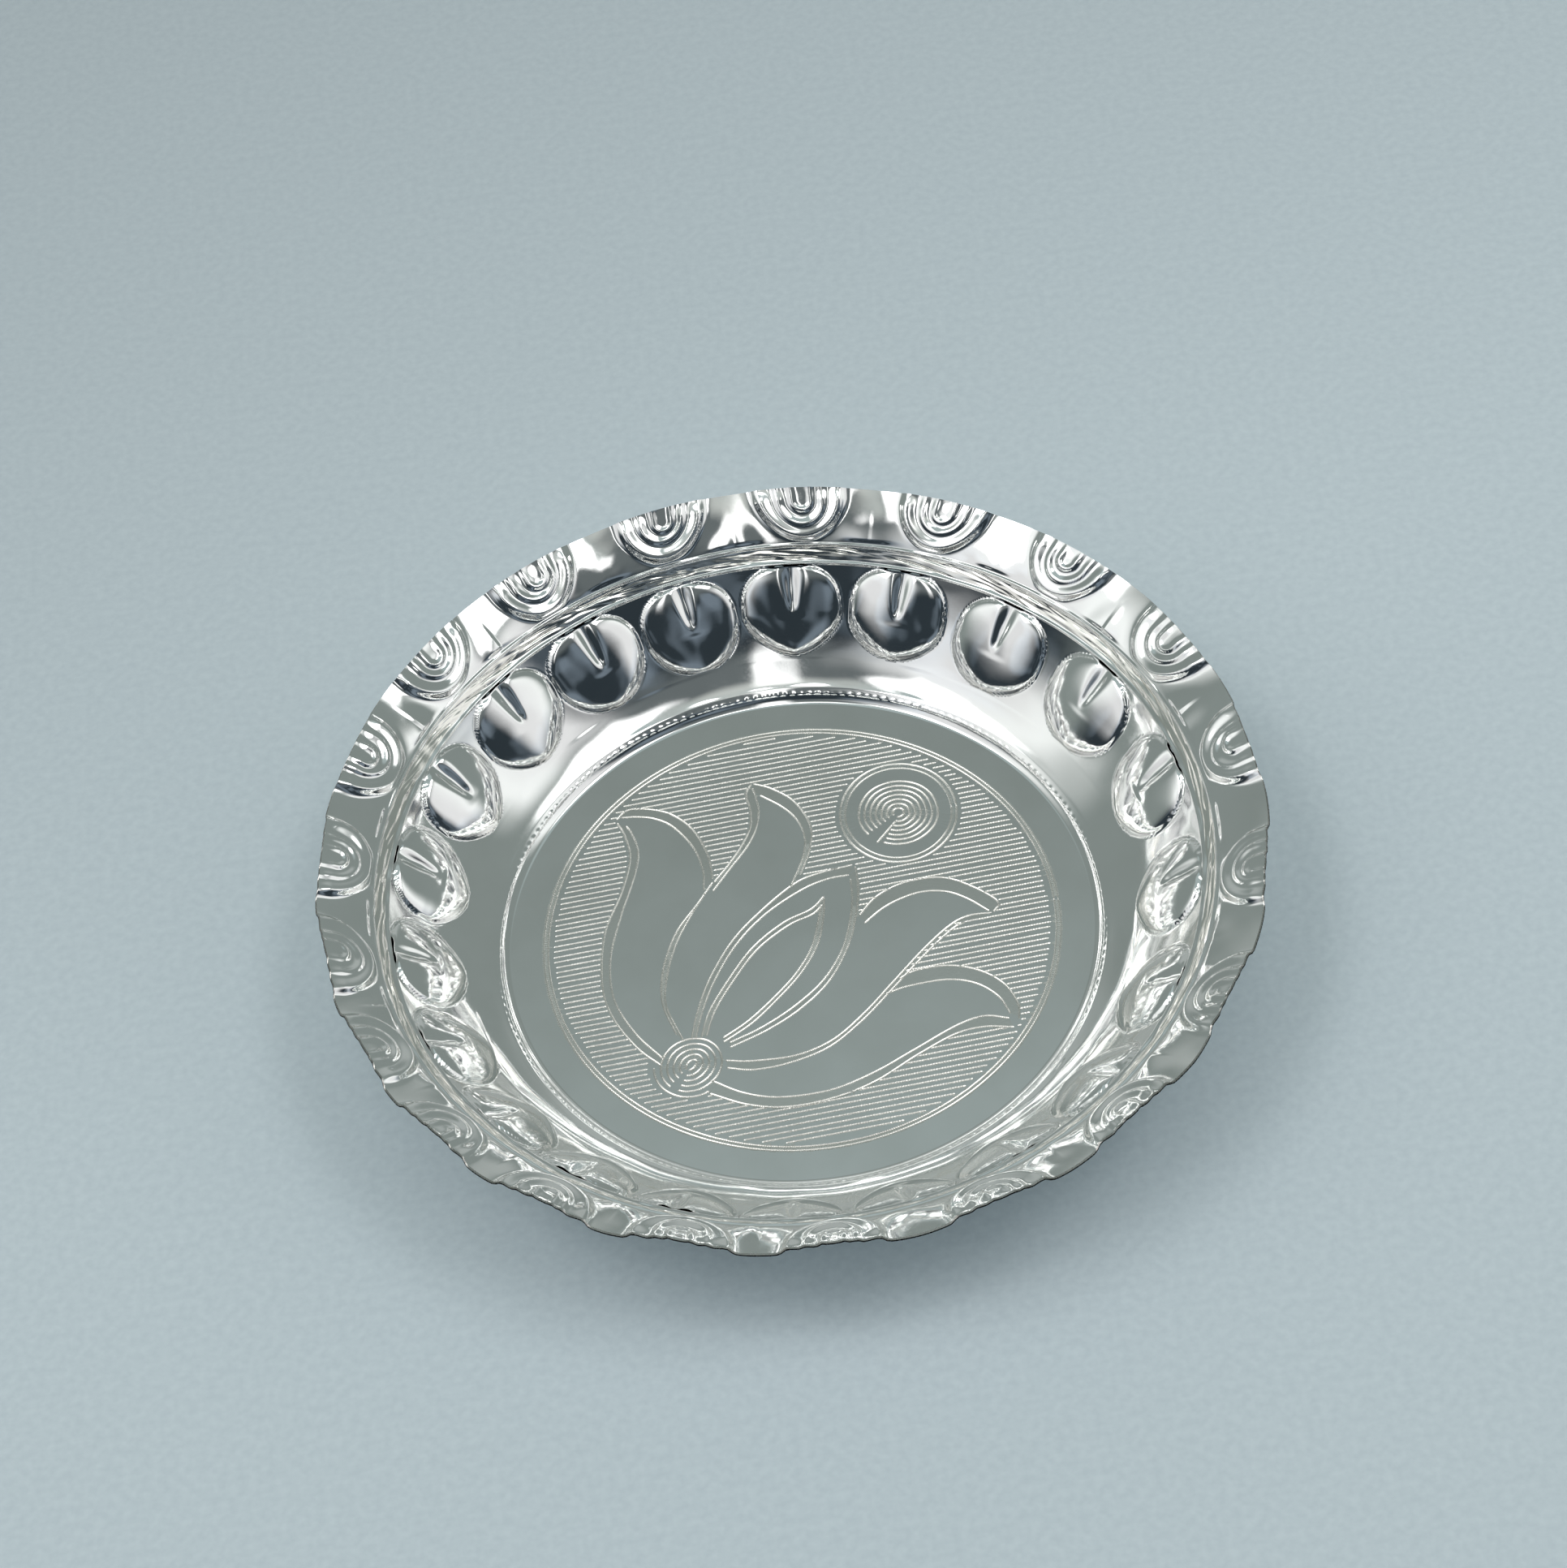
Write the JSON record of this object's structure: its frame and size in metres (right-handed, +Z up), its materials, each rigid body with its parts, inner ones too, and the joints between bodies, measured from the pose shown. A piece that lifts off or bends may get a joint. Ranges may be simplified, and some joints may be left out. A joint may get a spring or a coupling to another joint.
{
  "type": "offering plate",
  "caption": "Small round silver offering plate with a flat engraved floor, a wall of domed hearts, a hammered shoulder bead and a flared fan rim.",
  "frame": {"origin": "centre of the underside of the floor, on the surface that the plate stands on", "axes": "+Z up along the plate's axis, +Y away from the viewer who sees the lotus with its base at the lower left"},
  "size_m": [0.1158, 0.1155, 0.0197],
  "materials": {
    "engraved_silver": "mirror polish, wriggle-cut engraving",
    "mirror_silver": "mirror polish",
    "chased_silver": "burnished, chased from both sides",
    "hammered_silver": "hammered groove between burnished ridges"
  },
  "bodies": {
    "root": {"medallion_disc": "engraved_silver", "floor_ring": "mirror_silver", "foot_step": "mirror_silver", "cove_band": "mirror_silver", "heart_wall": "chased_silver", "shoulder_bead": "hammered_silver", "fan_rim": "chased_silver"}
  },
  "joints": []
}
